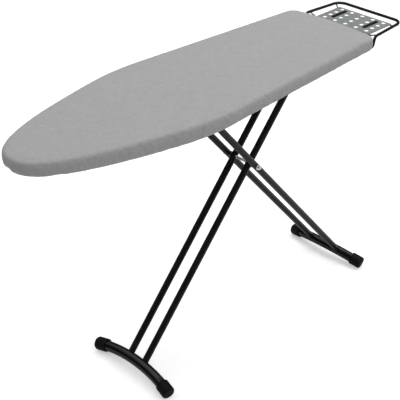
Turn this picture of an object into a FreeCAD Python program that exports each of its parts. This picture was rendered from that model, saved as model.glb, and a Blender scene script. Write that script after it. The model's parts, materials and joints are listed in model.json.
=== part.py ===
import FreeCAD, Part
import math
import os

os.makedirs("parts", exist_ok=True)
V = FreeCAD.Vector

# Ironing board on crossed legs, in millimetres, +Z up, feet on z = 0.
# The nose points to -X and the iron rest to +X. Lengths along the board are
# given from the nose tip and shifted to the middle of the object by px().
BOARD_LENGTH = 1177.0
BOARD_HALF = 198.0
NOSE_LENGTH = 468.0
NOSE_POWER = 1.03
NOSE_ROUND = 0.413
SHOULDER_AT = 562.0
SHOULDER_HALF = 196.5
REAR_HALF = 157.5
REAR_CROWN = 12.0
REAR_CORNER_R = 30.0
REST_END = 1355.0
TOP_Z = 860.0

COVER_T = 1.5
COVER_EDGE_R = 14.0
HEM_EDGE_R = 10.0
SKIRT_DEPTH = 45.0
HEM_TUCK = 16.0
ELASTIC_GAP = 0.3
ELASTIC_OUT = 5.0
ELASTIC_T = 4.0
PAD_T = 7.0
PAD_EDGE_R = 6.4
PAD_INSET = 6.2
MESH_TOP = 851.0
SHEET_T = 0.8
RIM_INSET = 3.6
RIM_DEPTH = 22.0
RIM_FLANGE = 14.0

PIVOT_Z = 813.0
CROSS_AT = 781.0
CROSS_Z = 541.0
LEG_ANGLE = math.radians(49.4)
LEG_TUBE_R = 10.0
LEG_WALL = 1.0
FRONT_TUBE_Y = 30.0
REAR_TUBE_Y = 56.0
FOOT_BAR_R = 16.0
FOOT_BAR_WALL = 1.2
FOOT_ARCH = 18.0
FRONT_FOOT_HALF = 138.0
REAR_FOOT_HALF = 130.0
FOOT_CAP_R = 20.0
FOOT_CAP_HALF = 20.0
FOOT_CAP_EDGE = 6.0

PIN_R = 4.0
PIN_CLEAR = 0.05
BRACE_BOTTOM = 825.6

# Everything below follows from the numbers above.
MIDDLE = REST_END / 2
DROP = PIVOT_Z - CROSS_Z
HALF_SPAN = DROP / math.tan(LEG_ANGLE)
FIXED_AT = CROSS_AT + HALF_SPAN
SLIDE_AT = CROSS_AT - HALF_SPAN
PIVOT_TO_CROSS = DROP / math.sin(LEG_ANGLE)
FOLDED_ANGLE = math.radians(1.8)
SLIDE_FOLDED_AT = FIXED_AT - 2 * PIVOT_TO_CROSS * math.cos(FOLDED_ANGLE)
RIM_TOP = MESH_TOP - SHEET_T


def px(along):
    return along - MIDDLE


def save(name, shape):
    if not shape.isValid():
        raise RuntimeError(name + " is not a valid shape")
    shape.exportStep("parts/" + name + ".step")


def cylinder(centre, direction, radius, length):
    """A cylinder of the given length centred on a point."""
    axis = V(direction)
    axis.normalize()
    base = centre - axis * (length / 2)
    return Part.makeCylinder(radius, length, base, axis)


def y_cylinder(along, z, radius, y0, y1):
    return Part.makeCylinder(radius, y1 - y0, V(px(along), y0, z), V(0, 1, 0))


def box(along0, along1, y0, y1, z0, z1):
    corner = V(px(along0), y0, z0)
    return Part.makeBox(along1 - along0, y1 - y0, z1 - z0, corner)


def mirrored(shape):
    """The shape and its mirror image across the board's centre plane."""
    other = shape.mirror(V(0, 0, 0), V(0, 1, 0))
    return Part.makeCompound([shape, other])


def swap(shape):
    return shape.mirror(V(0, 0, 0), V(0, 1, 0))


def union(shapes):
    return shapes[0].multiFuse(shapes[1:]).removeSplitter()


def rod(points, bends, radius):
    """A round rod along straight runs joined by tangent arcs."""
    edges = []
    start = points[0]
    for i in range(1, len(points) - 1):
        before = (points[i - 1] - points[i]).normalize()
        after = (points[i + 1] - points[i]).normalize()
        turn = math.pi - before.getAngle(after)
        setback = bends[i - 1] * math.tan(turn / 2)
        p = points[i] + before * setback
        q = points[i] + after * setback
        inward = (before + after).normalize()
        centre_gap = bends[i - 1] / math.cos(turn / 2)
        middle = points[i] + inward * (centre_gap - bends[i - 1])
        edges.append(Part.LineSegment(start, p).toShape())
        edges.append(Part.Arc(p, middle, q).toShape())
        start = q
    edges.append(Part.LineSegment(start, points[-1]).toShape())
    path = Part.Wire(edges)
    circle = Part.Circle(points[0], points[1] - points[0], radius)
    profile = Part.Wire([circle.toShape()])
    return path.makePipeShell([profile], True, False)


# ---------------------------------------------------------------- outline
def nose_half(along):
    share = 1 - along / NOSE_LENGTH
    return BOARD_HALF * (1 - share ** NOSE_POWER) ** NOSE_ROUND


def side_half(along):
    """Half width on the straight side, behind the shoulder."""
    run = BOARD_LENGTH - REAR_CROWN - SHOULDER_AT
    return SHOULDER_HALF + (REAR_HALF - SHOULDER_HALF) * (along - SHOULDER_AT) / run


def half_width(along):
    if along < NOSE_LENGTH - 40:
        return nose_half(along)
    return min(BOARD_HALF, side_half(along) + 1)


NOSE_STATIONS = [14.0, 53.0, 118.0, 212.0, 330.0, 440.0]


def nose_curve(inset):
    """The nose from shoulder to shoulder, moved inwards by an inset."""
    port = [V(px(s), nose_half(s), 0) for s in NOSE_STATIONS]
    port.append(V(px(SHOULDER_AT), SHOULDER_HALF, 0))
    starboard = [V(p.x, -p.y, 0) for p in reversed(port)]
    rear_x = px(BOARD_LENGTH - REAR_CROWN)
    slope = V(rear_x - px(SHOULDER_AT), REAR_HALF - SHOULDER_HALF, 0)
    curve = Part.BSplineCurve()
    curve.interpolate(Points=starboard + [V(px(0), 0, 0)] + port,
                      InitialTangent=V(-slope.x, slope.y, 0), FinalTangent=slope)
    if inset == 0:
        return curve, slope
    moved = []
    for point in starboard + [V(px(0), 0, 0)] + port:
        tangent = curve.tangent(curve.parameter(point))[0]
        moved.append(point + V(tangent.y, -tangent.x, 0).normalize() * inset)
    inner = Part.BSplineCurve()
    inner.interpolate(Points=moved, InitialTangent=V(-slope.x, slope.y, 0), FinalTangent=slope)
    return inner, slope


def board_outline(inset):
    """The plan outline at z = 0: nose curve, straight sides, round rear corners."""
    nose, slope = nose_curve(inset)
    start = nose.value(nose.FirstParameter)
    shoulder = nose.value(nose.LastParameter)
    crown_r = (REAR_HALF ** 2 + REAR_CROWN ** 2) / (2 * REAR_CROWN)
    crown_x = px(BOARD_LENGTH) - crown_r
    radius = crown_r - inset
    # The straight side meets the rear crown's circle at the sharp corner.
    run = V(slope).normalize()
    rel = shoulder - V(crown_x, 0, 0)
    along = rel.dot(run)
    reach = -along + math.sqrt(along * along - rel.dot(rel) + radius * radius)
    corner = shoulder + run * reach
    corner_m = V(corner.x, -corner.y, 0)
    edges = [
        nose.toShape(),
        Part.LineSegment(shoulder, corner).toShape(),
        Part.Arc(corner, V(crown_x + radius, 0, 0), corner_m).toShape(),
        Part.LineSegment(corner_m, start).toShape(),
    ]
    return Part.Wire(edges), corner.x


def plate(inset, z0, z1):
    """A flat slab with the board's outline drawn in by an inset."""
    wire, rear_x = board_outline(inset)
    slab = Part.Face(wire).extrude(V(0, 0, z1 - z0))
    corners = []
    for edge in slab.Edges:
        if edge.BoundBox.ZLength > 0.5 * (z1 - z0) and edge.BoundBox.XMin > rear_x - 1:
            corners.append(edge)
    slab = slab.makeFillet(REAR_CORNER_R - inset, corners)
    slab.translate(V(0, 0, z0))
    return slab


def ring(inset0, inset1, z0, z1):
    return plate(inset0, z0, z1).cut(plate(inset1, z0 - 1, z1 + 1))


def rim_edges(shape, z):
    return [e for e in shape.Edges if e.BoundBox.ZMax < z + 0.01 and e.BoundBox.ZMin > z - 0.01]


# ------------------------------------------------------------------ deck
def make_cover():
    """Fitted cloth cover: flat top, round edge, skirt drawn in underneath."""
    hem_z = TOP_Z - SKIRT_DEPTH
    outer = plate(0, hem_z, TOP_Z)
    outer = outer.makeFillet(COVER_EDGE_R, rim_edges(outer, TOP_Z))
    outer = outer.makeFillet(HEM_EDGE_R, rim_edges(outer, hem_z))
    inner_top = TOP_Z - COVER_T
    inner = plate(COVER_T, hem_z + COVER_T, inner_top)
    inner = inner.makeFillet(COVER_EDGE_R - COVER_T, rim_edges(inner, inner_top))
    inner = inner.makeFillet(HEM_EDGE_R - COVER_T, rim_edges(inner, hem_z + COVER_T))
    mouth = plate(HEM_TUCK, hem_z - 1, hem_z + 3)
    return outer.cut(inner).cut(mouth)


def make_pad():
    """Foam slab whose upper edge is rounded to fit inside the cover."""
    low = MESH_TOP + 0.2
    slab = plate(PAD_INSET, low, low + PAD_T)
    return slab.makeFillet(PAD_EDGE_R, rim_edges(slab, low + PAD_T))


def make_mesh_panel():
    """Steel top sheet with staggered round vent holes."""
    hole_r = 13.0
    pitch = 42.0
    row_step = pitch * math.sqrt(3) / 2
    edge_band = 30.0
    panel = plate(RIM_INSET, RIM_TOP, MESH_TOP)
    holes = []
    row = 0
    along = 70.0
    while along < BOARD_LENGTH - 60:
        limit = half_width(along - 15) - edge_band
        offset = 0.0 if row % 2 == 0 else pitch / 2
        count = int((limit + offset) / pitch)
        for k in range(-count, count + 1):
            y = k * pitch + offset
            if abs(y) <= limit:
                centre = V(px(along), y, RIM_TOP - 1)
                holes.append(Part.makeCylinder(hole_r, SHEET_T + 2, centre))
        along += row_step
        row += 1
    return panel.cut(Part.makeCompound(holes))


def make_rim():
    """Folded steel channel round the edge, open inwards."""
    web = ring(RIM_INSET, RIM_INSET + SHEET_T, RIM_TOP - RIM_DEPTH, RIM_TOP)
    lip = RIM_INSET + RIM_FLANGE
    top = ring(RIM_INSET, lip, RIM_TOP - SHEET_T, RIM_TOP)
    bottom = ring(RIM_INSET, lip, RIM_TOP - RIM_DEPTH, RIM_TOP - RIM_DEPTH + SHEET_T)
    return union([web, top, bottom])


BRACES = {
    "cross_brace_nose": 118.0,
    "cross_brace_track": 300.0,
    "cross_brace_middle": 640.0,
    "cross_brace_pivot": FIXED_AT,
    "cross_brace_rear": 1110.0,
}
BRACE_HALF = 20.0
BRACE_WALL_AT = 12.0
BRACE_T = 1.2


def make_brace(at):
    """Hat-section cross brace under the sheet, tabs tucked under the rim lip."""
    narrow = min(half_width(at - BRACE_HALF), half_width(at + BRACE_HALF))
    body = narrow - RIM_INSET - RIM_FLANGE - 1.0
    tab = narrow - RIM_INSET - SHEET_T - 1.0
    top_z = RIM_TOP - SHEET_T
    crown = box(at - BRACE_WALL_AT, at + BRACE_WALL_AT, -tab, tab, top_z - BRACE_T, top_z)
    pieces = [crown]
    for side in (-1, 1):
        wall_in = at + side * (BRACE_WALL_AT - BRACE_T)
        wall_out = at + side * BRACE_WALL_AT
        toe = at + side * BRACE_HALF
        x0, x1 = min(wall_in, wall_out), max(wall_in, wall_out)
        pieces.append(box(x0, x1, -body, body, BRACE_BOTTOM, top_z))
        x0, x1 = min(wall_in, toe), max(wall_in, toe)
        pieces.append(box(x0, x1, -body, body, BRACE_BOTTOM, BRACE_BOTTOM + BRACE_T))
    return union(pieces)


RAIL_IN = REAR_TUBE_Y + LEG_TUBE_R + 3.5
RAIL_OUT = 81.0
RAIL_T = 1.5
RAIL_HALF_H = BRACE_BOTTOM - PIVOT_Z
RAIL_FLANGE = 12.0
RAIL_START = SLIDE_FOLDED_AT - 34.0
RAIL_END = 646.0
RAIL_TAB_END = 660.0
RIVET_R = 3.0
RIVET_H = 1.4
RIVET_FROM_TOE = 4.0
RIVET_FROM_RAIL = 6.5
GLIDE_HALF = 15.0
GLIDE_HALF_H = RAIL_HALF_H - RAIL_T - 0.1
GLIDE_OUT = RAIL_OUT - RAIL_T - 0.5
STOP_GAP = 0.6


def make_rail():
    """Channel that guides one glide, with a flange riveted to the braces.

    The channel stops short of the folded cross rod; its flange runs on."""
    web = box(RAIL_START, RAIL_END, RAIL_OUT - RAIL_T, RAIL_OUT,
              PIVOT_Z - RAIL_HALF_H, BRACE_BOTTOM)
    low = box(RAIL_START, RAIL_END, RAIL_IN, RAIL_OUT,
              PIVOT_Z - RAIL_HALF_H, PIVOT_Z - RAIL_HALF_H + RAIL_T)
    high = box(RAIL_START, RAIL_TAB_END, RAIL_IN, RAIL_OUT + RAIL_FLANGE,
               BRACE_BOTTOM - RAIL_T, BRACE_BOTTOM)
    return union([web, low, high])


def make_rail_stops():
    """Moulded blocks that close each rail just past the glide's travel."""
    block = 12.0
    low = PIVOT_Z - RAIL_HALF_H + RAIL_T
    high = BRACE_BOTTOM - RAIL_T
    front_face = SLIDE_FOLDED_AT - GLIDE_HALF - STOP_GAP
    rear_face = SLIDE_AT + GLIDE_HALF + STOP_GAP
    pieces = []
    for x0 in (front_face - block, rear_face):
        pieces.append(box(x0, x0 + block, RAIL_IN, RAIL_OUT - RAIL_T, low, high))
    both = pieces + [swap(p) for p in pieces]
    return Part.makeCompound(both)


def make_rail_rivets():
    """Dome rivets that hold the rails' flanges to two braces."""
    rivets = []
    for at in (BRACES["cross_brace_track"], BRACES["cross_brace_middle"]):
        for side in (-1, 1):
            x = at + side * (BRACE_HALF - RIVET_FROM_TOE)
            for y in (RAIL_OUT + RIVET_FROM_RAIL, -RAIL_OUT - RIVET_FROM_RAIL):
                rivets.append(rivet(x, y))
    return Part.makeCompound(rivets)


def rivet(along, y):
    """Dome head under a flange at the level of the braces' feet."""
    return dome(V(px(along), y, BRACE_BOTTOM - RAIL_T), V(0, 0, -1), RIVET_R, RIVET_H)


def dome(base, direction, radius, height):
    """A low dome head standing on a face."""
    sphere_r = (radius * radius + height * height) / (2 * height)
    centre = base - direction * (sphere_r - height)
    ball = Part.makeSphere(sphere_r, centre)
    slab = Part.makeCylinder(radius + 1, height + 1, base, direction)
    return ball.common(slab)


BRACKET_IN = FRONT_TUBE_Y + LEG_TUBE_R + 1.8
BRACKET_T = 2.5
BRACKET_TOE = 60.0
BRACKET_DROP_R = 11.0
PIN_HEAD_R = 5.5
PIN_HEAD_H = 2.2


def make_pivot_bracket():
    """Hanger plate beside one front tube, with a bore for the fixed pivot."""
    out = BRACKET_IN + BRACKET_T
    half = BRACE_HALF
    plate_up = box(FIXED_AT - half, FIXED_AT + half, BRACKET_IN, out, PIVOT_Z, BRACE_BOTTOM)
    tongue = y_cylinder(FIXED_AT, PIVOT_Z, BRACKET_DROP_R, BRACKET_IN, out)
    skirt = box(FIXED_AT - BRACKET_DROP_R, FIXED_AT + BRACKET_DROP_R, BRACKET_IN, out,
                PIVOT_Z - 1, PIVOT_Z + 1)
    toe = box(FIXED_AT - half, FIXED_AT + half, BRACKET_IN, BRACKET_TOE,
              BRACE_BOTTOM - RAIL_T, BRACE_BOTTOM)
    bore = y_cylinder(FIXED_AT, PIVOT_Z, PIN_R, BRACKET_IN - 1, out + 1)
    return union([plate_up, tongue, skirt, toe]).cut(bore)


def make_fixed_pin():
    """Headed rod that the front legs swing on."""
    shank = BRACKET_IN + BRACKET_T
    pin = y_cylinder(FIXED_AT, PIVOT_Z, PIN_R, -shank, shank)
    head_a = dome(V(px(FIXED_AT), shank, PIVOT_Z), V(0, 1, 0), PIN_HEAD_R, PIN_HEAD_H)
    head_b = dome(V(px(FIXED_AT), -shank, PIVOT_Z), V(0, -1, 0), PIN_HEAD_R, PIN_HEAD_H)
    return union([pin, head_a, head_b])


def make_bracket_rivets():
    rivets = []
    for side in (-1, 1):
        x = FIXED_AT + side * (BRACE_HALF - RIVET_FROM_TOE)
        for y in (BRACKET_TOE - 6.0, -BRACKET_TOE + 6.0):
            rivets.append(rivet(x, y))
    return Part.makeCompound(rivets)


# ------------------------------------------------------------- iron rest
REST_ROD_R = 4.5
REST_Z = 840.0
ARM_Z = 808.0
ARM_Y = 132.0
ARM_INNER_Y = 116.0
ARM_START = 994.0
ARM_FLARE = 1136.0
BEND_LOW = 1194.0
BEND_HIGH = 1201.0
LOOP_Y = 119.0
LOOP_CORNER_R = 30.0
FLARE_R = 30.0
BEND_LOW_R = 12.0
BEND_HIGH_R = 14.0
REST_WIRE_R = 2.0
STUB_LAP = 10.0
STUB_PAST_LIP = 4.0
STUB_INSET = 3.5
STUB_FLARE = 8.0
STUB_WELD = 1.0
PLATE_Z = 835.0
PLATE_HALF = 101.0
PLATE_START = 1214.0
PLATE_END = 1327.0
PLATE_LIP = 2.5
PLATE_CORNER_R = 5.0
PLATE_EDGE_R = 1.0
HOLE_R = 6.4
HOLE_COLUMNS = 5
HOLE_ROWS = 4
COLUMN_STEP = 39.7
ROW_STEP = 28.0
FIRST_ROW = 1313.2
STRIP_HALF_L = 33.0
STRIP_HALF_W = 5.0
STRIP_T = 3.4
STRIP_EDGE_R = 1.1
SADDLE_HALF = 9.0
SADDLE_DEPTH = 7.0
SADDLE_EDGE_R = 5.0
SCREW_HEAD_R = 2.6
SCREW_HEAD_H = 1.6


def make_rest_loop():
    """Bent rod: two arms from under the board flare out, rise and meet at the end."""
    end = REST_END - REST_ROD_R
    side = [V(px(ARM_START), -ARM_INNER_Y, ARM_Z), V(px(ARM_FLARE), -ARM_INNER_Y, ARM_Z),
            V(px(BEND_LOW), -ARM_Y, ARM_Z),
            V(px(BEND_HIGH), -ARM_Y, REST_Z), V(px(end), -LOOP_Y, REST_Z)]
    other = [V(p.x, -p.y, p.z) for p in reversed(side)]
    bends = [FLARE_R, BEND_LOW_R, BEND_HIGH_R, LOOP_CORNER_R]
    return rod(side + other, bends + bends[::-1], REST_ROD_R)


def make_rest_wires():
    """Four short wires welded under the plate's lip and to the arms of the loop."""
    low = PLATE_Z - PLATE_LIP - REST_WIRE_R
    high = REST_Z - 1.5 * STUB_WELD
    lip = PLATE_HALF + STUB_PAST_LIP
    stubs = []
    for at, flare in ((PLATE_START + STUB_INSET, 0.0), (PLATE_END - STUB_INSET, STUB_FLARE)):
        share = (at + flare - BEND_HIGH) / (REST_END - REST_ROD_R - BEND_HIGH)
        arm = ARM_Y + (LOOP_Y - ARM_Y) * share - REST_ROD_R + STUB_WELD
        route = [V(px(at), PLATE_HALF - STUB_LAP, low), V(px(at), lip, low),
                 V(px(at + flare), arm, high)]
        stubs.append(mirrored(rod(route, [6.0], REST_WIRE_R)))
    return Part.makeCompound(stubs).cut(make_rest_loop())


def make_rest_plate():
    """Perforated sheet with turned-down edges that the iron stands on."""
    outer = box(PLATE_START, PLATE_END, -PLATE_HALF, PLATE_HALF,
                PLATE_Z - PLATE_LIP, PLATE_Z)
    upright = [e for e in outer.Edges if e.BoundBox.ZLength > PLATE_LIP - 0.1]
    outer = outer.makeFillet(PLATE_CORNER_R, upright)
    outer = outer.makeFillet(PLATE_EDGE_R, rim_edges(outer, PLATE_Z))
    inner = box(PLATE_START + SHEET_T, PLATE_END - SHEET_T, -PLATE_HALF + SHEET_T,
                PLATE_HALF - SHEET_T, PLATE_Z - PLATE_LIP - 1, PLATE_Z - SHEET_T)
    upright = [e for e in inner.Edges if e.BoundBox.ZLength > PLATE_LIP - SHEET_T]
    tray = outer.cut(inner.makeFillet(PLATE_CORNER_R - SHEET_T, upright))
    cuts = []
    for row in range(HOLE_ROWS):
        for column in range(HOLE_COLUMNS):
            x = FIRST_ROW - row * ROW_STEP
            y = (column - (HOLE_COLUMNS - 1) / 2) * COLUMN_STEP
            cuts.append(Part.makeCylinder(HOLE_R, 5, V(px(x), y, PLATE_Z - 3)))
    return tray.cut(Part.makeCompound(cuts))


def make_rest_strips():
    """Two soft strips that keep a hot iron off the plate."""
    strips = []
    middle = FIRST_ROW - 1.4 * ROW_STEP
    top = PLATE_Z + STRIP_T
    for sign in (-1, 1):
        y = sign * 1.5 * COLUMN_STEP
        strip = box(middle - STRIP_HALF_L, middle + STRIP_HALF_L,
                    y - STRIP_HALF_W, y + STRIP_HALF_W, PLATE_Z, top)
        strips.append(strip.makeFillet(STRIP_EDGE_R, rim_edges(strip, top)))
    return Part.makeCompound(strips)


def make_saddle(at, side):
    """Moulded block that clamps one rest arm under a brace."""
    y = side * ARM_INNER_Y
    block = box(at - BRACE_HALF, at + BRACE_HALF, y - SADDLE_HALF, y + SADDLE_HALF,
                ARM_Z - SADDLE_DEPTH, BRACE_BOTTOM)
    low = [e for e in block.Edges if e.BoundBox.ZMax < ARM_Z and e.BoundBox.XLength > 1]
    block = block.makeFillet(SADDLE_EDGE_R, low)
    bore = Part.makeCylinder(REST_ROD_R, 60, V(px(at - 30), y, ARM_Z), V(1, 0, 0))
    return block.cut(bore)


def make_saddle_screws():
    screws = []
    for at in (BRACES["cross_brace_pivot"], BRACES["cross_brace_rear"]):
        for y in (-ARM_INNER_Y - 6.0, ARM_INNER_Y + 6.0):
            for side in (-1, 1):
                x = at + side * (BRACE_HALF - 4.5)
                base = V(px(x), y, BRACE_BOTTOM + BRACE_T)
                screws.append(dome(base, V(0, 0, 1), SCREW_HEAD_R, SCREW_HEAD_H))
    return Part.makeCompound(screws)


# ------------------------------------------------------------------ legs
FRONT_DOWN = V(-math.cos(LEG_ANGLE), 0, -math.sin(LEG_ANGLE))
REAR_DOWN = V(math.cos(LEG_ANGLE), 0, -math.sin(LEG_ANGLE))
FIXED = V(px(FIXED_AT), 0, PIVOT_Z)
SLIDE = V(px(SLIDE_AT), 0, PIVOT_Z)
CROSS = V(px(CROSS_AT), 0, CROSS_Z)
TUBE_OVER = 7.0
INNER_NUT_R = 5.2
INNER_NUT_T = 3.0
NUT_R = 6.2
NUT_T = 5.6
NUT_CAP_R = 5.6
NUT_CAP_H = 3.4
WASHER_R = 8.5
WASHER_T = 1.2
SPACER_R = 9.0
SLEEVE_R = 7.0
PLAY = 0.2
SIDE = V(0, 1, 0)


def foot_arc(half):
    """Radius and end slope of the arched foot bar."""
    radius = (half * half + FOOT_ARCH * FOOT_ARCH) / (2 * FOOT_ARCH)
    return radius, math.asin(half / radius)


def cap_height(half):
    """Height of a tilted cap's centre when its lowest edge is on the floor."""
    tilt = math.sin(foot_arc(half)[1]) * math.sin(LEG_ANGLE)
    core_r = FOOT_CAP_R - FOOT_CAP_EDGE
    core_l = FOOT_CAP_HALF - FOOT_CAP_EDGE
    return core_r * math.sqrt(1 - tilt * tilt) + core_l * tilt + FOOT_CAP_EDGE


def foot_frame(top, down, half):
    """Where the leg's axis meets the line between the caps, and the top of the arch."""
    reach = (PIVOT_Z - cap_height(half)) / math.sin(LEG_ANGLE)
    low = top + down * reach
    return low, low - down * FOOT_ARCH


def make_foot_bar(top, down, half):
    low, crown = foot_frame(top, down, half)
    radius = foot_arc(half)[0]
    centre = crown + down * radius
    inner_half = half + 6.0
    lean = math.asin(inner_half / radius)
    end = centre + SIDE * inner_half - down * (radius * math.cos(lean))
    start = centre - SIDE * inner_half - down * (radius * math.cos(lean))
    path = Part.Wire([Part.Arc(start, crown, end).toShape()])
    tangent = SIDE * math.cos(lean) - down * math.sin(lean)
    outer = Part.Wire([Part.Circle(start, tangent, FOOT_BAR_R).toShape()])
    inner = Part.Wire([Part.Circle(start, tangent, FOOT_BAR_R - FOOT_BAR_WALL).toShape()])
    solid = path.makePipeShell([outer], True, False)
    hollow = path.makePipeShell([inner], True, False)
    return solid, solid.cut(hollow)


def make_foot_cap(top, down, half, side, bar):
    """Rubber boot over one end of the foot bar, closed at its outer end."""
    low = foot_frame(top, down, half)[0]
    slope = foot_arc(half)[1]
    axis = SIDE * (side * math.cos(slope)) + down * math.sin(slope)
    centre = low + SIDE * (side * half)
    boot = cylinder(centre, axis, FOOT_CAP_R, 2 * FOOT_CAP_HALF)
    boot = boot.makeFillet(FOOT_CAP_EDGE, outer_rim(boot, centre + axis * FOOT_CAP_HALF))
    boot = boot.makeFillet(2.5, outer_rim(boot, centre - axis * FOOT_CAP_HALF))
    return boot.cut(bar)


def outer_rim(shape, point):
    rims = []
    for edge in shape.Edges:
        closed = isinstance(edge.Curve, Part.Circle)
        if closed and (edge.Curve.Center - point).Length < 0.5:
            rims.append(edge)
    return rims


def make_leg_tube(top, down, y, half, bar, bores):
    """One straight tube from above its top pivot down to the foot bar."""
    crown = foot_frame(top, down, half)[1]
    start = top + V(0, y, 0) - down * TUBE_OVER
    length = (crown - top).Length + TUBE_OVER
    outer = Part.makeCylinder(LEG_TUBE_R, length, start, down)
    inner = Part.makeCylinder(LEG_TUBE_R - LEG_WALL, length, start, down)
    tube = outer.cut(inner).cut(bar)
    for point, radius in bores:
        tube = tube.cut(cylinder(V(point.x, y, point.z), SIDE, radius, 30))
    parts = sorted(tube.Solids, key=lambda s: -s.Volume)
    return parts[0]


def make_plug(top, down, y):
    """Domed plug in the open top end of a leg tube."""
    start = top + V(0, y, 0) - down * TUBE_OVER
    head = dome(start, V(-down.x, 0, -down.z), LEG_TUBE_R - 0.6, 2.6)
    stem_start = start + down * 2.0
    stem = Part.makeCylinder(LEG_TUBE_R - LEG_WALL, 2.0, stem_start - down * 2.0, down)
    return union([head, stem])


def solid_tube(top, down, y, half):
    crown = foot_frame(top, down, half)[1]
    start = top + V(0, y, 0) - down * TUBE_OVER
    return Part.makeCylinder(LEG_TUBE_R, (crown - top).Length, start, down)


def make_front_leg():
    solid_bar, bar = make_foot_bar(FIXED, FRONT_DOWN, FRONT_FOOT_HALF)
    save("front_foot_bar", bar)
    for name, side in (("near", -1), ("far", 1)):
        y = side * FRONT_TUBE_Y
        bores = [(FIXED, PIN_R + PIN_CLEAR), (CROSS, PIN_R)]
        tube = make_leg_tube(FIXED, FRONT_DOWN, y, FRONT_FOOT_HALF, solid_bar, bores)
        save("front_leg_tube_" + name, tube)
        save("front_leg_plug_" + name, make_plug(FIXED, FRONT_DOWN, y))
        cap = make_foot_cap(FIXED, FRONT_DOWN, FRONT_FOOT_HALF, side, solid_bar)
        save("front_foot_cap_" + name, cap)
    tube = solid_tube(FIXED, FRONT_DOWN, FRONT_TUBE_Y, FRONT_FOOT_HALF)
    pin_hole = y_cylinder(FIXED_AT, PIVOT_Z, PIN_R + PIN_CLEAR, -90, 90)
    washer = y_cylinder(FIXED_AT, PIVOT_Z, TUBE_OVER - PLAY, FRONT_TUBE_Y, BRACKET_IN - 0.1)
    save("front_leg_washers", mirrored(washer.cut(tube).cut(pin_hole)))
    sleeve = y_cylinder(FIXED_AT, PIVOT_Z, SLEEVE_R, -FRONT_TUBE_Y, FRONT_TUBE_Y)
    sleeve = sleeve.cut(tube).cut(swap(tube)).cut(pin_hole)
    save("front_leg_top_sleeve", sleeve)
    rod_half = REAR_TUBE_Y + LEG_TUBE_R + 7.0
    save("cross_pivot_rod", y_cylinder(CROSS_AT, CROSS_Z, PIN_R, -rod_half, rod_half))
    cross_hole = y_cylinder(CROSS_AT, CROSS_Z, PIN_R, -90, 90)
    bush_out = REAR_TUBE_Y - LEG_TUBE_R - PLAY
    bush = y_cylinder(CROSS_AT, CROSS_Z, SPACER_R, FRONT_TUBE_Y, bush_out)
    save("cross_spacers", mirrored(bush.cut(tube).cut(cross_hole)))
    nut_in = FRONT_TUBE_Y - LEG_TUBE_R - INNER_NUT_T
    inner_nut = y_cylinder(CROSS_AT, CROSS_Z, INNER_NUT_R, nut_in, FRONT_TUBE_Y)
    save("cross_inner_nuts", mirrored(inner_nut.cut(tube).cut(cross_hole)))
    outer = REAR_TUBE_Y + LEG_TUBE_R + PLAY
    nut_base = outer + WASHER_T
    washer = y_cylinder(CROSS_AT, CROSS_Z, WASHER_R, outer, nut_base)
    save("cross_washers", mirrored(washer.cut(cross_hole)))
    nut = y_cylinder(CROSS_AT, CROSS_Z, NUT_R, nut_base, nut_base + NUT_T)
    cap = dome(V(px(CROSS_AT), nut_base + NUT_T, CROSS_Z), SIDE, NUT_CAP_R, NUT_CAP_H)
    save("cross_cap_nuts", mirrored(union([nut, cap]).cut(
        y_cylinder(CROSS_AT, CROSS_Z, PIN_R, 0, rod_half))))


def make_rear_leg():
    solid_bar, bar = make_foot_bar(SLIDE, REAR_DOWN, REAR_FOOT_HALF)
    save("rear_foot_bar", bar)
    for name, side in (("near", -1), ("far", 1)):
        y = side * REAR_TUBE_Y
        bores = [(SLIDE, PIN_R), (CROSS, PIN_R + PIN_CLEAR)]
        tube = make_leg_tube(SLIDE, REAR_DOWN, y, REAR_FOOT_HALF, solid_bar, bores)
        save("rear_leg_tube_" + name, tube)
        save("rear_leg_plug_" + name, make_plug(SLIDE, REAR_DOWN, y))
        cap = make_foot_cap(SLIDE, REAR_DOWN, REAR_FOOT_HALF, side, solid_bar)
        save("rear_foot_cap_" + name, cap)
    save("slide_rod", y_cylinder(SLIDE_AT, PIVOT_Z, PIN_R, -GLIDE_OUT + 1, GLIDE_OUT - 1))


def make_glide(side):
    """Plastic shoe on the end of the slide rod."""
    shoe = box(SLIDE_AT - GLIDE_HALF, SLIDE_AT + GLIDE_HALF, RAIL_IN - 1.5, GLIDE_OUT,
               PIVOT_Z - GLIDE_HALF_H, PIVOT_Z + GLIDE_HALF_H)
    upright = [e for e in shoe.Edges if e.BoundBox.YLength > 5]
    shoe = shoe.makeFillet(3.0, upright)
    bore = y_cylinder(SLIDE_AT, PIVOT_Z, PIN_R + PIN_CLEAR, RAIL_IN - 3, GLIDE_OUT - 0.9)
    shoe = shoe.cut(bore)
    return shoe if side > 0 else swap(shoe)


# ----------------------------------------------------------- height lever
LEVER_PIN_AT = 345.0
LEVER_PIN_Z = 834.0
LEVER_PIN_R = 3.0
LEVER_Y0 = -7.0
LEVER_Y1 = -4.0
CHEEK_IN = -14.5
CHEEK_OUT = 2.5
CHEEK_T = 1.5
TOOTH_TIP_Z = PIVOT_Z + PIN_R + 0.6
HANDLE_AT = 592.0
HANDLE_Z = 829.6
HANDLE_R = 3.5
HANDLE_DROP = 14.0
GRIP_Y = -156.0
GRIP_HALF = 9.0
GRIP_BEFORE = 46.0
GRIP_AFTER = 20.0
GRIP_DEPTH = 11.0
GRIP_CORNER_R = 7.0
GRIP_EDGE_R = 3.0
NOTCHES = 6
NOTCH_PITCH = 26.0
NOTCH_DEPTH = 6.0
NOTCH_HALF = 4.75
TOOTH_SLOPE = 1.5


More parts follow.
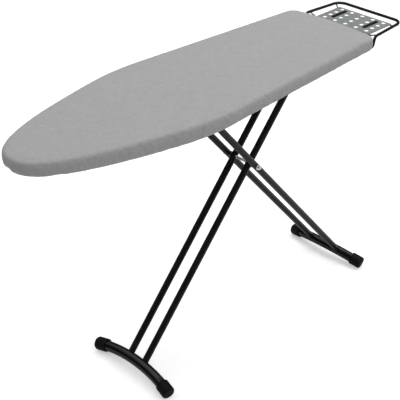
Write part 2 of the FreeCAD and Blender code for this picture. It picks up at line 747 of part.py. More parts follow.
def make_lever_bracket():
    """U bracket on the track brace that carries the lever's pin."""
    back_x = BRACES["cross_brace_track"] + BRACE_WALL_AT
    low = BRACE_BOTTOM + BRACE_T + 1.0
    high = low + 14.0
    reach = LEVER_PIN_AT + 8.0
    back = box(back_x, back_x + CHEEK_T, CHEEK_IN - CHEEK_T, CHEEK_OUT + CHEEK_T, low, high)
    left = box(back_x, reach, CHEEK_IN - CHEEK_T, CHEEK_IN, low, high)
    right = box(back_x, reach, CHEEK_OUT, CHEEK_OUT + CHEEK_T, low, high)
    bore = y_cylinder(LEVER_PIN_AT, LEVER_PIN_Z, LEVER_PIN_R, -30, 30)
    return union([back, left, right]).cut(bore)


def make_lever_pin():
    return y_cylinder(LEVER_PIN_AT, LEVER_PIN_Z, LEVER_PIN_R,
                      CHEEK_IN - CHEEK_T - 1.2, CHEEK_OUT + CHEEK_T + 1.2)


def make_latch_plate():
    """Toothed plate above the slide rod, one notch for each working height."""
    root_z = TOOTH_TIP_Z + NOTCH_DEPTH
    first = SLIDE_AT - (NOTCHES - 1) * NOTCH_PITCH
    points = [(LEVER_PIN_AT - 4, LEVER_PIN_Z - 6), (LEVER_PIN_AT + 30, TOOTH_TIP_Z)]
    for k in range(NOTCHES):
        at = first + k * NOTCH_PITCH
        points.append((at - NOTCH_HALF - TOOTH_SLOPE, TOOTH_TIP_Z))
        points.append((at - NOTCH_HALF, root_z))
        points.append((at + NOTCH_HALF, root_z))
        points.append((at + NOTCH_HALF + TOOTH_SLOPE, TOOTH_TIP_Z))
    points.append((HANDLE_AT - 22, TOOTH_TIP_Z))
    points.append((HANDLE_AT, HANDLE_Z - 4))
    points.append((HANDLE_AT, HANDLE_Z + 3.0))
    points.append((LEVER_PIN_AT, LEVER_PIN_Z + 6))
    points.append(points[0])
    wire = Part.makePolygon([V(px(a), LEVER_Y0, z) for a, z in points])
    blade = Part.Face(wire).extrude(V(0, LEVER_Y1 - LEVER_Y0, 0))
    hub = y_cylinder(LEVER_PIN_AT, LEVER_PIN_Z, 6.2, LEVER_Y0, CHEEK_OUT - 0.3)
    bore = y_cylinder(LEVER_PIN_AT, LEVER_PIN_Z, LEVER_PIN_R + PIN_CLEAR, -30, 30)
    return union([blade, hub]).cut(bore)


def make_lever_handle():
    """Bent rod from the latch plate out to the grip under the near edge."""
    end_x = px(HANDLE_AT)
    points = [V(end_x, LEVER_Y0, HANDLE_Z), V(end_x, GRIP_Y, HANDLE_Z),
              V(end_x, GRIP_Y, HANDLE_Z - HANDLE_DROP)]
    return rod(points, [6.0], HANDLE_R)


def make_lever_grip():
    """Moulded finger pad on the end of the handle."""
    high = HANDLE_Z - HANDLE_DROP
    low = high - GRIP_DEPTH
    grip = box(HANDLE_AT - GRIP_BEFORE, HANDLE_AT + GRIP_AFTER,
               GRIP_Y - GRIP_HALF, GRIP_Y + GRIP_HALF, low, high)
    upright = [e for e in grip.Edges if e.BoundBox.ZLength > 5]
    grip = grip.makeFillet(GRIP_CORNER_R, upright)
    return grip.makeFillet(GRIP_EDGE_R, rim_edges(grip, low))


def make_lever_spring():
    """Torsion spring beside the latch plate, on the lever's pin."""
    wire_r = 0.7
    coil_r = 4.6
    pitch = 1.6
    turns = 3.5
    y0 = CHEEK_IN + wire_r + 0.3
    helix = Part.makeHelix(pitch, pitch * turns, coil_r)
    start = V(coil_r, 0, 0)
    circle = Part.Circle(start, V(0, 1, 0), wire_r)
    coil = Part.Wire(helix).makePipeShell([Part.Wire([circle.toShape()])], True, True)
    coil.rotate(V(0, 0, 0), V(1, 0, 0), -90)
    coil.translate(V(px(LEVER_PIN_AT), y0, LEVER_PIN_Z))
    return coil


# ------------------------------------------------------------------ write
save("cover", make_cover())
save("foam_pad", make_pad())
save("hem_elastic", ring(HEM_TUCK + ELASTIC_GAP, HEM_TUCK + ELASTIC_OUT, TOP_Z - SKIRT_DEPTH,
                         TOP_Z - SKIRT_DEPTH + ELASTIC_T))
save("mesh_panel", make_mesh_panel())
save("rim_frame", make_rim())
for brace_name, brace_at in BRACES.items():
    save(brace_name, make_brace(brace_at))
rail = make_rail()
save("slide_rail_far", rail)
save("slide_rail_near", swap(rail))
save("rail_stops", make_rail_stops())
save("rail_rivets", make_rail_rivets())
bracket = make_pivot_bracket()
save("pivot_bracket_far", bracket)
save("pivot_bracket_near", swap(bracket))
save("fixed_pivot_pin", make_fixed_pin())
save("bracket_rivets", make_bracket_rivets())
save("iron_rest_loop", make_rest_loop())
save("iron_rest_wires", make_rest_wires())
save("iron_rest_plate", make_rest_plate())
save("iron_rest_strips", make_rest_strips())
for place, at in (("front", BRACES["cross_brace_pivot"]), ("rear", BRACES["cross_brace_rear"])):
    save("rest_saddle_" + place + "_near", make_saddle(at, -1))
    save("rest_saddle_" + place + "_far", make_saddle(at, 1))
save("saddle_screws", make_saddle_screws())
make_front_leg()
make_rear_leg()
save("glide_far", make_glide(1))
save("glide_near", make_glide(-1))
save("lever_bracket", make_lever_bracket())
save("lever_pin", make_lever_pin())
save("latch_plate", make_latch_plate())
save("lever_handle", make_lever_handle())
save("lever_grip", make_lever_grip())
save("lever_spring", make_lever_spring())
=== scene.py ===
import bpy
import bmesh
import json
import math
import numpy as np
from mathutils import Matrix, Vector, noise


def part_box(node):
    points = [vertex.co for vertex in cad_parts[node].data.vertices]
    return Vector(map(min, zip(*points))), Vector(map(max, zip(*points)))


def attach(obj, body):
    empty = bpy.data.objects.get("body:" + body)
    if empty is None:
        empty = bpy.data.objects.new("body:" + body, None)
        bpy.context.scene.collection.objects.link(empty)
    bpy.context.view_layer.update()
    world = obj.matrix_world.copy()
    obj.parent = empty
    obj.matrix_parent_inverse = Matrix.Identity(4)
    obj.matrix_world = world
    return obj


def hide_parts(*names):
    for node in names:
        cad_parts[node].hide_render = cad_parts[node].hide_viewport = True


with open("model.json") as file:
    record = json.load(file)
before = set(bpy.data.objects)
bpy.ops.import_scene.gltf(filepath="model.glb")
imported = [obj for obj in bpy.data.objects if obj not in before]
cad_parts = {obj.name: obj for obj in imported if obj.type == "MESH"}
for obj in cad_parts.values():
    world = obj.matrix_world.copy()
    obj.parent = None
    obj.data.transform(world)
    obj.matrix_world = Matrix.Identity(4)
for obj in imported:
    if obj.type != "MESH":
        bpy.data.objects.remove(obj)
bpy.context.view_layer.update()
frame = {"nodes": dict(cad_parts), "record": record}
NODES = frame["nodes"]

# Ironing board, in metres. Lengths along the board are counted from the nose
# tip and shifted to the middle of the object by px(), as in the CAD model.
MIDDLE = 0.6775
BOARD_LENGTH = 1.177
BOARD_HALF = 0.198
NOSE_LENGTH = 0.468
NOSE_POWER = 1.03
NOSE_ROUND = 0.413
NOSE_STATIONS = [0.014, 0.053, 0.118, 0.212, 0.330, 0.440]
SHOULDER_AT = 0.562
SHOULDER_HALF = 0.1965
REAR_HALF = 0.1575
REAR_CROWN = 0.012
REAR_CORNER_R = 0.030
TOP_Z = 0.860


def px(along):
    return along - MIDDLE


# ------------------------------------------------------------ node helpers
class Nodes:
    """A small builder for one material's node tree."""

    def __init__(self, name):
        self.mat = bpy.data.materials.new(name)
        self.mat.use_nodes = True
        self.tree = self.mat.node_tree
        self.tree.nodes.clear()
        self.out = self.tree.nodes.new("ShaderNodeOutputMaterial")
        self.bsdf = self.tree.nodes.new("ShaderNodeBsdfPrincipled")
        self.link(self.bsdf.outputs[0], self.out.inputs[0])
        coord = self.tree.nodes.new("ShaderNodeTexCoord")
        self.object = coord.outputs["Object"]

    def link(self, a, b):
        self.tree.links.new(a, b)

    def new(self, kind, **values):
        node = self.tree.nodes.new(kind)
        for key, value in values.items():
            setattr(node, key, value)
        return node

    def put(self, socket, value):
        if hasattr(value, "is_output"):
            self.link(value, socket)
        else:
            socket.default_value = value

    def noise(self, scale, detail=3.0, rough=0.55, vector=None):
        node = self.new("ShaderNodeTexNoise")
        node.inputs["Scale"].default_value = scale
        node.inputs["Detail"].default_value = detail
        node.inputs["Roughness"].default_value = rough
        self.link(vector or self.object, node.inputs["Vector"])
        return node.outputs["Fac"]

    def wave(self, scale, direction, distortion):
        node = self.new("ShaderNodeTexWave", wave_type="BANDS", bands_direction=direction)
        node.inputs["Scale"].default_value = scale
        node.inputs["Distortion"].default_value = distortion
        node.inputs["Detail"].default_value = 1.0
        self.link(self.object, node.inputs["Vector"])
        return node.outputs["Fac"]

    def math(self, operation, a, b=0.0, clamp=False):
        node = self.new("ShaderNodeMath", operation=operation, use_clamp=clamp)
        self.put(node.inputs[0], a)
        self.put(node.inputs[1], b)
        return node.outputs[0]

    def span(self, value, low, high, to_low=0.0, to_high=1.0):
        node = self.new("ShaderNodeMapRange")
        self.put(node.inputs["Value"], value)
        node.inputs["From Min"].default_value = low
        node.inputs["From Max"].default_value = high
        node.inputs["To Min"].default_value = to_low
        node.inputs["To Max"].default_value = to_high
        return node.outputs[0]

    def mix(self, factor, a, b):
        node = self.new("ShaderNodeMix", data_type="RGBA")
        self.put(node.inputs[0], factor)
        self.put(node.inputs[6], (*a, 1) if isinstance(a, tuple) else a)
        self.put(node.inputs[7], (*b, 1) if isinstance(b, tuple) else b)
        return node.outputs[2]

    def bump(self, height, distance, strength=1.0, normal=None):
        node = self.new("ShaderNodeBump")
        node.inputs["Distance"].default_value = distance
        node.inputs["Strength"].default_value = strength
        self.link(height, node.inputs["Height"])
        if normal is not None:
            self.link(normal, node.inputs["Normal"])
        return node.outputs[0]

    def stretch(self, x, y, z):
        node = self.new("ShaderNodeMapping")
        node.inputs["Scale"].default_value = (x, y, z)
        self.link(self.object, node.inputs["Vector"])
        return node.outputs[0]

    def set(self, **values):
        for key, value in values.items():
            socket = self.bsdf.inputs[key.replace("_", " ")]
            if isinstance(value, tuple):
                value = (*value, 1.0)
            self.put(socket, value)
        return self


# --------------------------------------------------------------- materials
def cotton(name, light, dark):
    """Heather cotton cloth: mixed fibres, plain weave and a soft nap."""
    m = Nodes(name)
    threads = 320.0
    fleck = m.noise(900.0, 4.0, 0.7)
    warp_fibre = m.noise(420.0, 2.0, 0.6, m.stretch(0.12, 1.0, 1.0))
    weft_fibre = m.noise(420.0, 2.0, 0.6, m.stretch(1.0, 0.12, 1.0))
    mottled = m.noise(30.0, 3.0, 0.6)
    half_warp = m.math("MULTIPLY", warp_fibre, 0.5)
    heather = m.math("ADD", half_warp, m.math("MULTIPLY", weft_fibre, 0.5))
    flecks = m.math("MULTIPLY", m.span(fleck, 0.35, 0.65, -0.5, 0.5), 0.20)
    heather = m.math("ADD", heather, flecks)
    heather = m.math("ADD", heather, m.span(mottled, 0.3, 0.7, -0.03, 0.03))
    colour = m.mix(m.span(heather, 0.34, 0.66), dark, light)
    warp = m.wave(threads, "X", 0.6)
    weft = m.wave(threads, "Y", 0.6)
    side = m.wave(threads, "Z", 0.6)
    weave = m.math("ADD", m.math("MULTIPLY", warp, weft), m.math("MULTIPLY", side, 0.5))
    normal = m.bump(weave, 0.00016, 0.35)
    normal = m.bump(m.noise(60.0, 3.0, 0.6), 0.0006, 0.25, normal)
    m.set(Base_Color=colour, Roughness=0.92, Normal=normal)
    m.bsdf.inputs["Sheen Weight"].default_value = 0.15
    m.bsdf.inputs["Sheen Roughness"].default_value = 0.5
    m.bsdf.inputs["Specular IOR Level"].default_value = 0.25
    return m.mat


def foam(name):
    """Open-cell foam: cream, with fine pits."""
    m = Nodes(name)
    cells = m.new("ShaderNodeTexVoronoi")
    cells.inputs["Scale"].default_value = 700.0
    m.link(m.object, cells.inputs["Vector"])
    pit = m.span(cells.outputs["Distance"], 0.0, 0.6)
    tone = m.noise(9.0, 3.0)
    base = m.mix(m.span(tone, 0.3, 0.7), (0.70, 0.66, 0.54), (0.80, 0.77, 0.68))
    colour = m.mix(m.math("MULTIPLY", pit, 0.35), base, (0.45, 0.42, 0.34))
    m.set(Base_Color=colour, Roughness=0.95, Normal=m.bump(pit, 0.0006, 0.6))
    return m.mat


def painted(name, light, dark, rough, peel=0.5, shine=0.45):
    """Powder coat: fine orange peel, faint dust and worn edges."""
    m = Nodes(name)
    cloud = m.noise(7.0, 4.0, 0.6)
    grain = m.noise(1400.0, 2.0, 0.5)
    speckle = m.math("ADD", m.math("MULTIPLY", cloud, 0.6), m.math("MULTIPLY", grain, 0.4))
    colour = m.mix(m.span(speckle, 0.35, 0.65), dark, light)
    wear = m.new("ShaderNodeNewGeometry").outputs["Pointiness"]
    chips = m.span(m.noise(40.0, 4.0, 0.7), 0.5, 0.7)
    edge = m.math("MULTIPLY", m.span(wear, 0.54, 0.62), chips)
    lifted = tuple(min(1.0, c * 1.5 + 0.012) for c in light)
    colour = m.mix(m.math("MULTIPLY", edge, 0.35, clamp=True), colour, lifted)
    roughness = m.span(m.noise(22.0, 3.0), 0.3, 0.7, rough - 0.05, rough + 0.07)
    normal = m.bump(m.noise(520.0, 2.0, 0.5), 0.00018, peel)
    normal = m.bump(m.noise(90.0, 2.0, 0.5), 0.0004, peel * 0.35, normal)
    m.set(Base_Color=colour, Roughness=roughness, Normal=normal)
    m.bsdf.inputs["Specular IOR Level"].default_value = shine
    return m.mat


def zinc(name, tint):
    """Zinc plated steel: crystal clouds and rolling marks."""
    m = Nodes(name)
    spangle = m.new("ShaderNodeTexVoronoi")
    spangle.inputs["Scale"].default_value = 160.0
    m.link(m.object, spangle.inputs["Vector"])
    shade = m.math("ADD", m.math("MULTIPLY", spangle.outputs["Distance"], 0.3),
                   m.math("MULTIPLY", m.noise(30.0, 4.0), 0.7))
    dark = tuple(c * 0.72 for c in tint)
    colour = m.mix(m.span(shade, 0.3, 0.7), dark, tint)
    roughness = m.span(m.noise(80.0, 3.0), 0.3, 0.7, 0.30, 0.46)
    brushed = m.noise(500.0, 2.0, 0.6, m.stretch(0.05, 1.0, 1.0))
    m.set(Base_Color=colour, Roughness=roughness, Normal=m.bump(brushed, 0.0001, 0.3))
    m.bsdf.inputs["Metallic"].default_value = 1.0
    return m.mat


def bright(name):
    """Polished plating with faint clouds."""
    m = Nodes(name)
    cloud = m.noise(200.0, 3.0)
    colour = m.mix(m.span(cloud, 0.3, 0.7), (0.66, 0.66, 0.68), (0.86, 0.86, 0.87))
    roughness = m.span(m.noise(350.0, 3.0), 0.3, 0.7, 0.12, 0.26)
    m.set(Base_Color=colour, Roughness=roughness, Normal=m.bump(cloud, 0.0001, 0.2))
    m.bsdf.inputs["Metallic"].default_value = 1.0
    return m.mat


def moulded(name, light, dark, rough, shine, grain_scale=900.0, grain=0.4):
    """Moulded plastic or rubber with a fine spark-eroded grain."""
    m = Nodes(name)
    texture = m.noise(grain_scale, 3.0, 0.6)
    cloud = m.noise(26.0, 3.0, 0.6)
    colour = m.mix(m.span(cloud, 0.3, 0.7), dark, light)
    dust = m.math("MULTIPLY", m.span(m.noise(60.0, 5.0, 0.7), 0.55, 0.8), 0.25)
    colour = m.mix(dust, colour, tuple(c * 2.0 + 0.004 for c in light))
    roughness = m.span(cloud, 0.3, 0.7, rough - 0.06, rough + 0.06)
    m.set(Base_Color=colour, Roughness=roughness, Normal=m.bump(texture, 0.00022, grain))
    m.bsdf.inputs["Specular IOR Level"].default_value = shine
    return m.mat


MATERIALS = {
    "cover_cotton": cotton("cover cotton", (0.405, 0.405, 0.407), (0.325, 0.325, 0.328)),
    "hem_elastic": cotton("hem elastic", (0.30, 0.30, 0.31), (0.20, 0.20, 0.21)),
    "pad_foam": foam("pad foam"),
    "grey_sheet_steel": painted(
        "grey sheet steel", (0.34, 0.35, 0.36), (0.27, 0.28, 0.29), rough=0.42),
    "zinc_steel": zinc("zinc steel", (0.60, 0.61, 0.63)),
    "black_frame_paint": painted(
        "black frame paint", (0.0060, 0.0060, 0.0065), (0.0035, 0.0035, 0.0040),
        rough=0.32, peel=0.35, shine=0.22),
    "black_foot_paint": painted(
        "black foot paint", (0.0035, 0.0038, 0.0046), (0.0020, 0.0022, 0.0028),
        rough=0.15, peel=0.25, shine=0.30),
    "foot_rubber": moulded(
        "foot rubber", (0.0036, 0.0036, 0.0040), (0.0020, 0.0020, 0.0022),
        rough=0.60, shine=0.14, grain_scale=700.0, grain=0.7),
    "rest_plate_paint": painted(
        "rest plate paint", (0.235, 0.250, 0.250), (0.185, 0.200, 0.200), rough=0.45),
    "silicone": moulded(
        "silicone", (0.0060, 0.0060, 0.0065), (0.0035, 0.0035, 0.0040), rough=0.55, shine=0.2),
    "black_nylon": moulded(
        "black nylon", (0.010, 0.010, 0.011), (0.006, 0.006, 0.007), rough=0.42, shine=0.3),
    "grip_plastic": moulded(
        "grip plastic", (0.020, 0.020, 0.022), (0.012, 0.012, 0.013),
        rough=0.5, shine=0.3, grain_scale=600.0, grain=0.8),
    "bright_nut": bright("bright nut"),
    "spring_steel": zinc("spring steel", (0.46, 0.46, 0.47)),
}


def paint_nodes():
    """Every CAD node takes the finish of its record slot."""
    slots = {s["node"]: s["material_slot"] for s in frame["record"]["subparts"]}
    for name, obj in NODES.items():
        finish = MATERIALS[slots[name]]
        if not obj.material_slots:
            obj.data.materials.append(finish)
        for slot in obj.material_slots:
            slot.material = finish


# ----------------------------------------------------------------- outline
def clamped_spline(points, first, last, count):
    """Points on the second half of a smooth curve through the given ones.

    The curve's end directions are set, and it starts at its middle point."""
    p = np.array(points, float)
    t = np.concatenate([[0.0], np.cumsum(np.linalg.norm(np.diff(p, axis=0), axis=1))])
    h = np.diff(t)
    n = len(p)
    a = np.zeros((n, n))
    b = np.zeros((n, 2))
    a[0, 0] = a[-1, -1] = 1.0
    b[0] = np.array(first) / np.linalg.norm(first)
    b[-1] = np.array(last) / np.linalg.norm(last)
    for i in range(1, n - 1):
        a[i, i - 1] = h[i]
        a[i, i] = 2 * (h[i - 1] + h[i])
        a[i, i + 1] = h[i - 1]
        b[i] = 3 * (h[i] * (p[i] - p[i - 1]) / h[i - 1] + h[i - 1] * (p[i + 1] - p[i]) / h[i])
    m = np.linalg.solve(a, b)
    found = []
    for s in np.linspace(t[n // 2], t[-1], count):
        i = min(int(np.searchsorted(t, s, side="right")) - 1, n - 2)
        u = (s - t[i]) / h[i]
        here = (2 * u**3 - 3 * u**2 + 1) * p[i] + (u**3 - 2 * u**2 + u) * h[i] * m[i]
        found.append(here + (3 * u**2 - 2 * u**3) * p[i + 1] + (u**3 - u**2) * h[i] * m[i + 1])
    return np.array(found)


def nose_half(along):
    return BOARD_HALF * (1 - (1 - along / NOSE_LENGTH) ** NOSE_POWER) ** NOSE_ROUND


def arc_points(centre, radius, start, end, count):
    angles = np.linspace(start, end, count)
    return [centre + radius * np.array([math.cos(a), math.sin(a)]) for a in angles]


def half_outline():
    """The far half of the plan outline, from the nose tip to the rear's middle."""
    port = [(s, nose_half(s)) for s in NOSE_STATIONS] + [(SHOULDER_AT, SHOULDER_HALF)]
    mirror = [(x, -y) for x, y in reversed(port)]
    run = np.array([BOARD_LENGTH - REAR_CROWN - SHOULDER_AT, REAR_HALF - SHOULDER_HALF])
    run = run / np.linalg.norm(run)
    nose = clamped_spline(mirror + [(0.0, 0.0)] + port, (-run[0], run[1]), run, 260)
    crown_r = (REAR_HALF**2 + REAR_CROWN**2) / (2 * REAR_CROWN)
    crown = np.array([BOARD_LENGTH - crown_r, 0.0])
    inward = np.array([run[1], -run[0]])
    start = np.array([SHOULDER_AT, SHOULDER_HALF]) + inward * REAR_CORNER_R
    rel = start - crown
    ahead = rel @ run
    reach = -ahead + math.sqrt(ahead**2 - rel @ rel + (crown_r - REAR_CORNER_R) ** 2)
    centre = start + run * reach
    a0 = math.atan2(-inward[1], -inward[0])
    a1 = math.atan2(*(centre - crown)[::-1])
    arc = arc_points(centre, REAR_CORNER_R, a0, a1, 40)
    rear = arc_points(crown, crown_r, a1, 0.0, 60)
    side = [nose[-1] + (arc[0] - nose[-1]) * k for k in np.linspace(0, 1, 120)[1:]]
    return np.vstack([nose, side, arc[1:], rear[1:]])


def full_outline(count):
    """Evenly spaced points right round the outline, with their inward normals."""
    half = half_outline()
    loop = np.vstack([half, half[-2:0:-1] * [1, -1], half[:1]])
    run = np.concatenate([[0.0], np.cumsum(np.linalg.norm(np.diff(loop, axis=0), axis=1))])
    even = np.linspace(0, run[-1], count, endpoint=False)
    points = np.column_stack([np.interp(even, run, loop[:, k]) for k in (0, 1)])
    ahead = np.roll(points, -1, axis=0) - np.roll(points, 1, axis=0)
    ahead /= np.linalg.norm(ahead, axis=1)[:, None]
    inward = np.column_stack([ahead[:, 1], -ahead[:, 0]])
    points[:, 0] -= MIDDLE
    return points, inward, even, run[-1]


def mesh_object(name, verts, faces, smooth=True):
    mesh = bpy.data.meshes.new(name)
    mesh.from_pydata([tuple(v) for v in verts], [], faces)
    mesh.validate()
    obj = bpy.data.objects.new(name, mesh)
    bpy.context.scene.collection.objects.link(obj)
    if smooth:
        mesh.polygons.foreach_set("use_smooth", [True] * len(mesh.polygons))
    return obj


def ring_faces(rings, count):
    """Quads between rings of the same number of points."""
    faces = []
    for r in range(rings - 1):
        for i in range(count):
            j = (i + 1) % count
            low, high = r * count, (r + 1) * count
            faces.append((low + i, low + j, high + j, high + i))
    return faces


# ------------------------------------------------------------------- cover
# The cover's section: inset from the outline and height from the top, in
# rings from the tucked hem up over the rolled edge, then as shares of the
# way from the edge to the spine.
PROFILE = [
    (0.0190, -0.0408), (0.0180, -0.0433), (0.0150, -0.0444), (0.0115, -0.0443), (0.0082, -0.0432),
    (0.0053, -0.0412), (0.0030, -0.0382), (0.0013, -0.0345), (0.0002, -0.0300), (-0.0004, -0.0255),
    (-0.0004, -0.0212), (0.0000, -0.0175), (0.0005, -0.0140), (0.0013, -0.0108), (0.0025, -0.0080),
    (0.0043, -0.0056), (0.0067, -0.0039), (0.0098, -0.0027), (0.0136, -0.0019), (0.0182, -0.0013),
    (0.0235, -0.0009),
]
SHARES = [
    (0.03, -0.0006), (0.09, -0.0003), (0.20, -0.0001), (0.36, 0.0), (0.54, 0.0), (0.76, 0.0),
    (1.0, 0.0),
]
AROUND = 900
NOSE_FOOT = px(0.16)
REAR_FOOT = px(BOARD_LENGTH - 0.13)
CLOTH = 0.0010
FULLER = 0.0026
SETTLE_CAP = 0.0009
SETTLE_FRAMES = 20
FIRM_ABOVE = 0.0012
FIRM_BELOW = 0.0425
SKIRT_FROM = 0.018
SKIRT_RUN = 0.026
GATHER_DEPTH = 0.0040
GATHER_LIFT = 0.0024
SWAY_DEPTH = 0.0012
TOP_UNEVEN = 0.0005
HEM_INSET = 0.0192
HEM_DOWN = 0.0418
HEM_HALF_WIDTH = 0.0022
HEM_HALF_HEIGHT = 0.0020
HEM_SIDES = 8
PUCKER_EVERY = 0.0085
PAD_AROUND = 700
PAD_GAP = 0.0017


def pull(u, length, wavelengths, seed):
    """Uneven gathers along the hem: a few noise waves, from -1 to 1."""
    total = 0.0
    angle = 2 * math.pi * u / length
    for k, wave in enumerate(wavelengths):
        radius = length / (2 * math.pi * wave)
        p = Vector((math.cos(angle) * radius, math.sin(angle) * radius, seed + 7.3 * k))
        total += noise.noise(p) / (k + 1)
    return total


def hem_drop(x):
    """How much lower the hem hangs along the front half than at the ends."""
    return 0.0050 * math.exp(-(((x - px(0.36)) / 0.20) ** 2))


def bend_share(inward):
    """0 on straight runs to 1 in the tight bends, where the cloth gathers."""
    turn = np.linalg.norm(np.roll(inward, -4, axis=0) - np.roll(inward, 4, axis=0), axis=1)
    share = np.minimum(turn / np.percentile(turn, 96), 1.0)
    for _ in range(12):
        share = (np.roll(share, 1) + share * 2 + np.roll(share, -1)) / 4
    return share


def hem_gathers(even, length, inward):
    """How far the elastic draws the cloth in, most in the tight bends."""
    bend = bend_share(inward)
    return [pull(u, length, (0.026, 0.012), 1.0) * (0.25 + 0.75 * k) for u, k in zip(even, bend)]


def make_cover():
    """The cotton cover as one cloth: top, rolled edge, skirt and gathered hem."""
    count = AROUND
    points, inward, even, length = full_outline(count)
    gather = hem_gathers(even, length, inward)
    sway = [pull(u, length, (0.150, 0.060), 4.0) for u in even]
    verts = []
    for inset, down in PROFILE:
        low = min(1.0, max(0.0, (-down - SKIRT_FROM) / SKIRT_RUN))
        for i in range(count):
            ruffle = gather[i] * GATHER_DEPTH * low ** 1.4
            ease = sway[i] * SWAY_DEPTH * min(1.0, low * 1.6 + 0.12)
            out = inset - FULLER - ruffle - ease
            p = points[i] + inward[i] * out
            z = TOP_Z + down - hem_drop(p[0]) * low + abs(gather[i]) * GATHER_LIFT * low ** 2
            verts.append((p[0], p[1], z))
    # The top runs inwards to the spine between two feet.
    start = PROFILE[-1][0]
    for share, down in SHARES:
        for i in range(count):
            p = points[i] + inward[i] * start
            foot = np.array([min(max(p[0], NOSE_FOOT), REAR_FOOT), 0.0])
            q = p + (foot - p) * share
            soft = noise.noise(Vector((q[0] * 9, q[1] * 13, 2.0))) * TOP_UNEVEN
            fade = math.sin(math.pi * min(1.0, share * 1.4) / 2)
            verts.append((q[0], q[1], TOP_Z + down + soft * fade))
    rings = len(PROFILE) + len(SHARES)
    obj = mesh_object("cover_cloth", verts, ring_faces(rings, count))
    weld = bmesh.new()
    weld.from_mesh(obj.data)
    bmesh.ops.remove_doubles(weld, verts=weld.verts, dist=0.0004)
    bmesh.ops.recalc_face_normals(weld, faces=weld.faces)
    weld.to_mesh(obj.data)
    weld.free()
    obj.data.polygons.foreach_set("use_smooth", [True] * len(obj.data.polygons))
    relax_cloth(obj)
    solid = obj.modifiers.new("cloth", "SOLIDIFY")
    solid.thickness = CLOTH
    solid.offset = -1.0
    return obj


def relax_cloth(obj):
    """Lets the cloth settle: held on top and at the hem, a little slack between."""
    mesh = obj.data
    rest = np.array([v.co for v in mesh.vertices])
    held = obj.vertex_groups.new(name="held")
    for v in mesh.vertices:
        down = TOP_Z - v.co.z
        if down < FIRM_ABOVE:
            held.add([v.index], 1.0, "REPLACE")
        elif down > FIRM_BELOW:
            held.add([v.index], 0.85, "REPLACE")
        else:
            held.add([v.index], 0.10, "REPLACE")
    cloth = obj.modifiers.new("settle", "CLOTH")
    cloth.settings.quality = 6
    cloth.settings.mass = 0.2
    cloth.settings.tension_stiffness = 12
    cloth.settings.compression_stiffness = 4
    cloth.settings.shear_stiffness = 4
    cloth.settings.bending_stiffness = 0.15
    cloth.settings.vertex_group_mass = "held"
    cloth.settings.pin_stiffness = 1.0
    cloth.settings.shrink_min = -0.012
    cloth.settings.use_pressure = True
    cloth.settings.uniform_pressure_force = 0.6
    cloth.settings.effector_weights.gravity = 0.0
    cloth.point_cache.frame_start = 1
    cloth.point_cache.frame_end = SETTLE_FRAMES
    for frame_number in range(1, SETTLE_FRAMES + 1):
        bpy.context.scene.frame_set(frame_number)
    view = bpy.context.evaluated_depsgraph_get()
    moved = np.array([v.co for v in obj.evaluated_get(view).data.vertices])
    obj.modifiers.remove(cloth)
    obj.vertex_groups.clear()
    shift = moved - rest
    size = np.linalg.norm(shift, axis=1)
    cap = np.minimum(1.0, SETTLE_CAP / np.maximum(size, 1e-9))
    settled = rest + shift * cap[:, None]
    mesh.vertices.foreach_set("co", settled.ravel())
    mesh.update()
    print("cloth settled: largest", round(float(size.max()) * 1000, 2), "mm, mean",
          round(float(size.mean()) * 1000, 3), "mm")
    bpy.context.scene.frame_set(1)


def make_hem():
    """The rolled hem with its elastic, lying inside the tucked edge."""
    count = AROUND
    points, inward, even, length = full_outline(count)
    gather = hem_gathers(even, length, inward)
    puckers = round(length / PUCKER_EVERY)
    verts = []
    for k in range(HEM_SIDES):
        angle = 2 * math.pi * k / HEM_SIDES
        for i in range(count):
            pucker = 1.0 + 0.25 * math.sin(2 * math.pi * puckers * even[i] / length)
            out = HEM_INSET - FULLER + math.cos(angle) * HEM_HALF_WIDTH * pucker
            p = points[i] + inward[i] * out
            high = math.sin(angle) * HEM_HALF_HEIGHT * pucker + abs(gather[i]) * GATHER_LIFT
            verts.append((p[0], p[1], TOP_Z - HEM_DOWN - hem_drop(p[0]) + high))
    faces = ring_faces(HEM_SIDES, count)
    last = (HEM_SIDES - 1) * count
    for i in range(count):
        j = (i + 1) % count
        faces.append((last + i, last + j, j, i))
    return mesh_object("cover_hem", verts, faces)


def make_pad():
    """Foam slab that follows the cloth just under its rolled edge."""
    count = PAD_AROUND
    points, inward = full_outline(count)[:2]
    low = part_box("foam_pad")[0][2] - TOP_Z
    rows = np.array(PROFILE)
    run = np.gradient(rows, axis=0)
    run /= np.linalg.norm(run, axis=1)[:, None]
    inner = rows + np.column_stack([run[:, 1], -run[:, 0]]) * PAD_GAP - [FULLER, 0]
    inner = [tuple(r) for r in inner if r[1] > low + 0.0004]
    edge = inner[0][0]
    profile = [(edge + 0.008, low), (edge + 0.0010, low), (edge + 0.0002, low + 0.0002)] + inner
    verts = []
    for inset, z in profile:
        for i in range(count):
            p = points[i] + inward[i] * inset
            verts.append((p[0], p[1], TOP_Z + z))
    pad = mesh_object("foam_pad_soft", verts, ring_faces(len(profile), count))
    work = bmesh.new()
    work.from_mesh(pad.data)
    work.verts.ensure_lookup_table()
    last = (len(profile) - 1) * count
    work.faces.new([work.verts[i] for i in range(count - 1, -1, -1)])
    work.faces.new([work.verts[last + i] for i in range(count)])
    bmesh.ops.recalc_face_normals(work, faces=work.faces)
    work.to_mesh(pad.data)
    work.free()
    return pad


# ------------------------------------------------------------------- build
def place(piece, node, slot):
    """Gives a deck piece its finish and puts it in a CAD node's place."""
    piece.data.materials.append(MATERIALS[slot])
    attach(piece, "deck")
    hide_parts(node)
    return piece


paint_nodes()
cover = place(make_cover(), "cover", "cover_cotton")
hem = place(make_hem(), "hem_elastic", "hem_elastic")
pad = place(make_pad(), "foam_pad", "pad_foam")


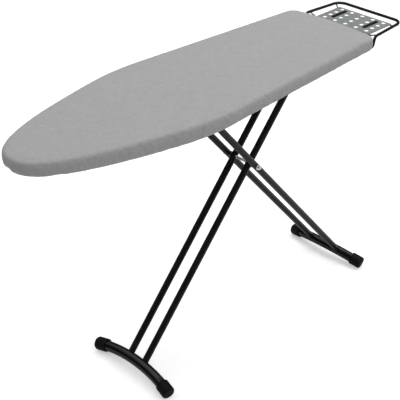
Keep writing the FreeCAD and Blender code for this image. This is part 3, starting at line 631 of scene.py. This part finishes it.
# ------------------------------------------------- floor, light and camera
def area_light(name, position, target, size, power):
    """A soft rectangular lamp aimed at a point."""
    data = bpy.data.lights.new(name, "AREA")
    data.shape = "RECTANGLE"
    data.size, data.size_y = size
    data.energy = power
    lamp = bpy.data.objects.new(name, data)
    bpy.context.scene.collection.objects.link(lamp)
    lamp.location = position
    aim = Vector(target) - Vector(position)
    lamp.rotation_euler = aim.to_track_quat("-Z", "Y").to_euler()


FLOOR_HALF = 12
FLOOR_LIGHT = (0.80, 0.80, 0.80)
FLOOR_DARK = (0.78, 0.78, 0.78)
FLOOR_GLOW = 0.45


def floor_finish():
    """Plain white sweep: pure white to look at, a little less of it sent back up as light."""
    m = Nodes("floor white")
    m.set(Base_Color=m.mix(m.noise(0.6), FLOOR_LIGHT, FLOOR_DARK), Roughness=0.95)
    glow = m.new("ShaderNodeLightPath").outputs["Is Camera Ray"]
    m.link(m.math("MULTIPLY", glow, FLOOR_GLOW), m.bsdf.inputs["Emission Strength"])
    m.bsdf.inputs["Emission Color"].default_value = (1, 1, 1, 1)
    m.bsdf.inputs["Specular IOR Level"].default_value = 0.1
    return m.mat


corners = [(-FLOOR_HALF, -FLOOR_HALF, 0), (FLOOR_HALF, -FLOOR_HALF, 0),
           (FLOOR_HALF, FLOOR_HALF, 0), (-FLOOR_HALF, FLOOR_HALF, 0)]
floor = mesh_object("floor", corners, [(0, 1, 2, 3)], smooth=False)
floor.data.materials.append(floor_finish())


def studio_world():
    """An overhead soft dome, brighter from the rear, that is dim near the horizon.

    Seen directly it is plain white."""
    world = bpy.data.worlds.new("studio")
    bpy.context.scene.world = world
    world.use_nodes = True
    tree = world.node_tree
    sky = tree.nodes["Background"]
    coord = tree.nodes.new("ShaderNodeTexCoord")
    split = tree.nodes.new("ShaderNodeSeparateXYZ")
    tree.links.new(coord.outputs["Generated"], split.inputs[0])

    def remap(socket, low, high, to_low, to_high):
        node = tree.nodes.new("ShaderNodeMapRange")
        node.interpolation_type = "SMOOTHSTEP"
        tree.links.new(socket, node.inputs["Value"])
        node.inputs["From Min"].default_value = low
        node.inputs["From Max"].default_value = high
        node.inputs["To Min"].default_value = to_low
        node.inputs["To Max"].default_value = to_high
        return node.outputs[0]

    def combine(operation, a, b):
        node = tree.nodes.new("ShaderNodeMath")
        node.operation = operation
        tree.links.new(a, node.inputs[0])
        tree.links.new(b, node.inputs[1])
        return node.outputs[0]

    dome = remap(split.outputs["Z"], 0.42, 0.95, 0.02, 1.72)
    rear = remap(split.outputs["X"], -0.8, 0.8, 0.70, 1.30)
    seen = tree.nodes.new("ShaderNodeLightPath").outputs["Is Camera Ray"]
    light = combine("MULTIPLY", combine("MULTIPLY", dome, rear), remap(seen, 0.0, 1.0, 1.0, 0.0))
    tree.links.new(combine("ADD", light, seen), sky.inputs[1])
    sky.inputs[0].default_value = (1, 1, 1, 1)


studio_world()
area_light("rear", (0.95, 0.35, 2.75), (0.45, 0.0, 0.8), (1.4, 1.4), 8.0)
area_light("side", (1.1, -3.0, 2.0), (0.2, 0, 0.6), (1.6, 1.0), 14.0)
area_light("front", (-2.2, -2.6, 2.9), (0, 0, 0.45), (0.5, 0.5), 2.0)

YAW = math.radians(44.585)
PITCH = math.radians(31.955)
camera = bpy.data.objects.new("camera", bpy.data.cameras.new("camera"))
bpy.context.scene.collection.objects.link(camera)
camera.location = (-1.0738 - MIDDLE, -1.7091, 1.9720)
camera.rotation_euler = (math.pi / 2 - PITCH, 0, -YAW)
camera.data.lens = 89.275
camera.data.sensor_width = 36
bpy.context.scene.camera = camera
bpy.context.scene.view_settings.view_transform = "Standard"
